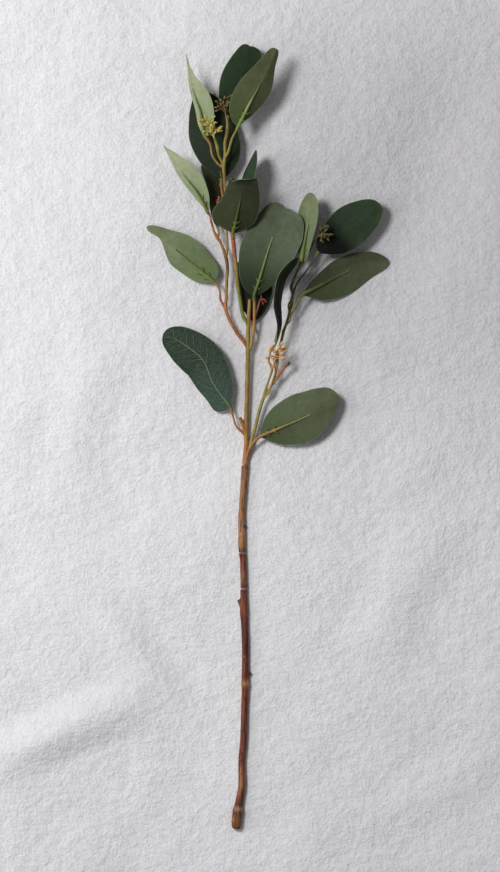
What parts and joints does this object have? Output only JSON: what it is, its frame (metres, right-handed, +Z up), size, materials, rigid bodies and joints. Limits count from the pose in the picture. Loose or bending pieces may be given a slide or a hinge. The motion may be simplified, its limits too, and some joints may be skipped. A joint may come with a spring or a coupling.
{
  "type": "artificial eucalyptus branch",
  "caption": "Faux eucalyptus spray lying flat: moulded stem over wire, side sprigs with spined cloth leaves and small seed bud clusters.",
  "frame": {"origin": "middle of the spray's outline seen from above, on the surface it lies on", "axes": "+Y along the stem towards the leafy end, +X to the right seen from above, +Z up"},
  "size_m": [0.1931, 0.6276, 0.0481],
  "materials": {
    "wire_steel": "drawn steel wire, plain",
    "bark_brown": "moulded plastic, painted red-brown with olive patches, satin",
    "stem_olive": "moulded plastic, tan and olive, satin",
    "sprig_red": "moulded plastic, red-brown to tan, satin",
    "sprig_green": "moulded plastic, yellow-green to tan, satin",
    "leaf_under": "pale grey-green cloth, matt, fine woven grain",
    "leaf_upper": "dark green printed cloth with fine pale veins, matt",
    "bud_yellow": "moulded plastic, yellow-olive to orange-brown",
    "bud_red": "moulded plastic, pink-red"
  },
  "bodies": {
    "root": {"wire_core": "wire_steel", "stem_lower": "bark_brown", "stem_short": "bark_brown", "stem_middle": "bark_brown", "leader": "stem_olive", "left_sprig": "sprig_red", "top_sprig": "sprig_green", "centre_twig": "sprig_green", "right_sprig": "sprig_green", "leaf_crown_dark": "leaf_upper", "leaf_crown_right": "leaf_under", "leaf_crown_left": "leaf_under", "leaf_upper_dark": "leaf_upper", "leaf_upper_left": "leaf_under", "leaf_upper_shaded": "leaf_upper", "leaf_middle": "leaf_under", "leaf_middle_edge": "leaf_upper", "leaf_left_wavy": "leaf_under", "leaf_centre_broad": "leaf_under", "leaf_centre_dark": "leaf_upper", "leaf_centre_edge": "leaf_upper", "leaf_right_pale": "leaf_under", "leaf_right_dark": "leaf_upper", "leaf_right_low": "leaf_under", "leaf_lower_left": "leaf_upper", "leaf_lower_right": "leaf_under", "buds_crown_yellow": "bud_yellow", "buds_crown_brown": "bud_yellow", "buds_upper_pink": "bud_red", "buds_centre_red": "bud_red", "buds_right_orange": "bud_yellow", "buds_right_green": "bud_yellow"}
  },
  "joints": []
}
